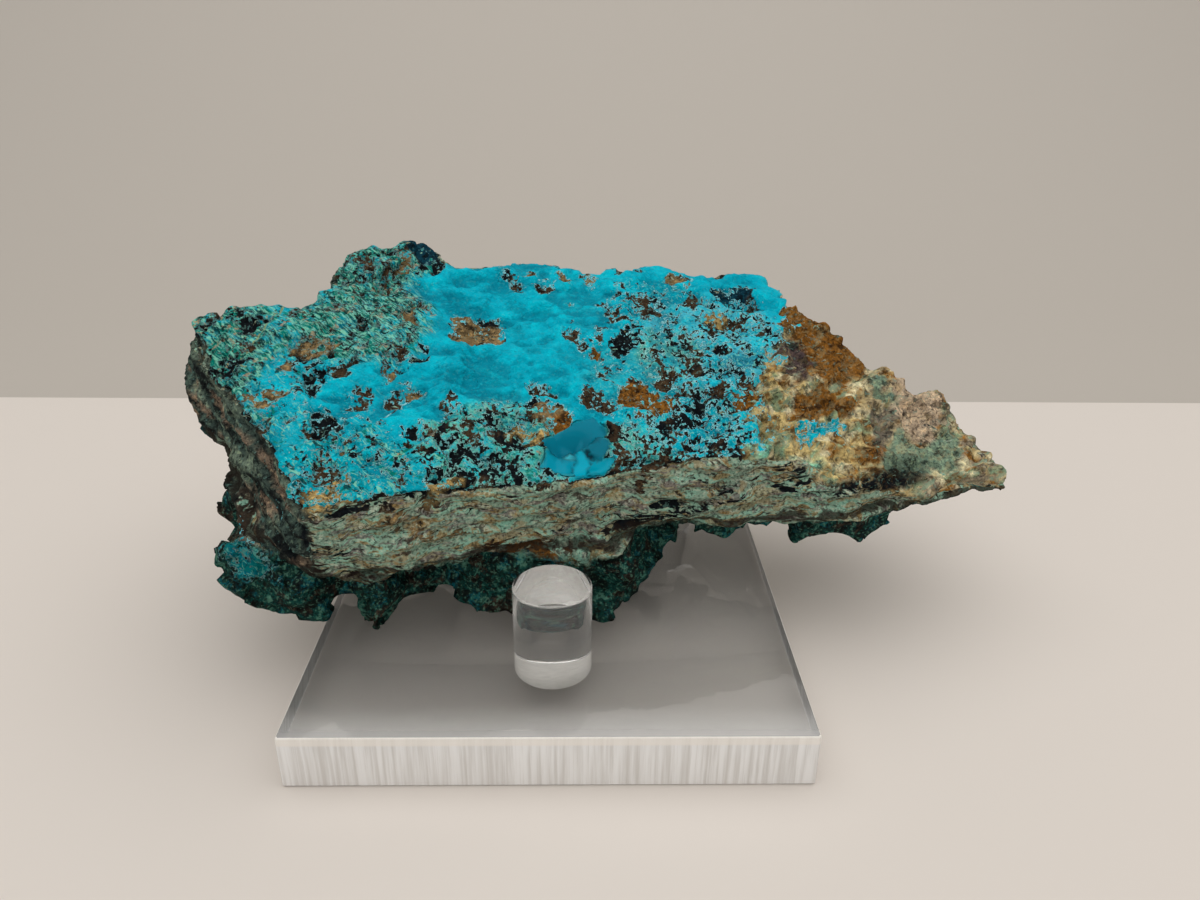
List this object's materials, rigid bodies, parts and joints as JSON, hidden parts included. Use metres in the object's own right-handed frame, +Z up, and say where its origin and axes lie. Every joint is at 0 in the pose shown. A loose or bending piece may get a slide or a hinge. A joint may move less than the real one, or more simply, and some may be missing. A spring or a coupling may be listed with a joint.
{
  "type": "chrysocolla specimen on a stand",
  "caption": "Rough slab of chrysocolla leaning on a clear acrylic stand: a square plate with round pegs that hold the rock tipped toward the viewer.",
  "frame": {"origin": "centre of the underside of the square plate", "axes": "+Z up, +Y to the back, +X to the right along the plate's front edge, which is also the rock's long direction to within 16 degrees"},
  "size_m": [0.1951, 0.1236, 0.0824],
  "materials": {
    "chrysocolla_rock": "rough turquoise crust with brown, black and sage bands",
    "clear_acrylic_plate": "polished faces, sawn edges",
    "clear_acrylic_peg": "polished"
  },
  "bodies": {
    "root": {"chrysocolla_rock": "chrysocolla_rock", "stand_base": "clear_acrylic_plate", "peg_front": "clear_acrylic_peg", "peg_rear_left": "clear_acrylic_peg", "peg_rear_right": "clear_acrylic_peg"}
  },
  "joints": []
}
